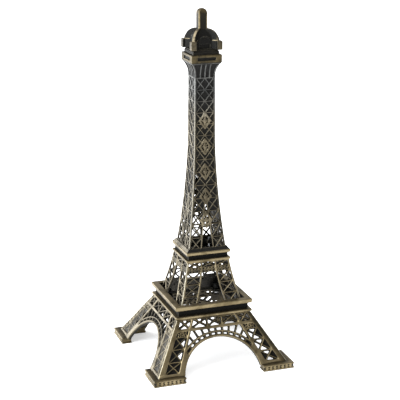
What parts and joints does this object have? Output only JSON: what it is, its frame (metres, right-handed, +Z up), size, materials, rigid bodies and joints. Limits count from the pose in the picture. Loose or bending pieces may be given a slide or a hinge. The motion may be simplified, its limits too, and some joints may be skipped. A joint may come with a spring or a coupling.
{
  "type": "souvenir lattice tower figurine",
  "caption": "Antique-bronze souvenir figurine of an openwork lattice tower: arched flared base, two platforms, tall tapering braced shaft and a domed lantern with a short mast.",
  "frame": {"origin": "centre of the square base, on the surface that the tower stands on", "axes": "+Z up along the tower, -Y the front, the face with the ornaments, +X to the right of it"},
  "size_m": [0.158, 0.158, 0.38],
  "materials": {
    "antique_bronze": "antique bronze plating on cast alloy: tan where rubbed, near black in the recesses, semi-gloss",
    "darkened_bronze": "the same plating left dark, semi-gloss",
    "screw_steel": "zinc-plated steel, satin"
  },
  "bodies": {
    "root": {"foot_front_left": "antique_bronze", "foot_front_right": "antique_bronze", "foot_back_right": "antique_bronze", "foot_back_left": "antique_bronze", "base_panel_front": "antique_bronze", "base_panel_right": "antique_bronze", "base_panel_back": "antique_bronze", "base_panel_left": "antique_bronze", "first_platform_plate": "antique_bronze", "first_platform_deck": "antique_bronze", "middle_panel_front": "antique_bronze", "middle_panel_right": "antique_bronze", "middle_panel_back": "antique_bronze", "middle_panel_left": "antique_bronze", "second_platform_plate": "antique_bronze", "second_platform_deck": "antique_bronze", "shaft_panel_front": "antique_bronze", "shaft_panel_right": "antique_bronze", "shaft_panel_back": "antique_bronze", "shaft_panel_left": "antique_bronze", "crown_gallery": "antique_bronze", "lantern_step": "antique_bronze", "lantern_dome": "antique_bronze", "mast": "antique_bronze", "first_platform_collar": "darkened_bronze", "second_platform_collar": "darkened_bronze", "shaft_skirt": "darkened_bronze", "crown_neck": "darkened_bronze", "middle_tier_screws": "screw_steel", "shaft_screws": "screw_steel", "crown_screw": "screw_steel"}
  },
  "joints": []
}
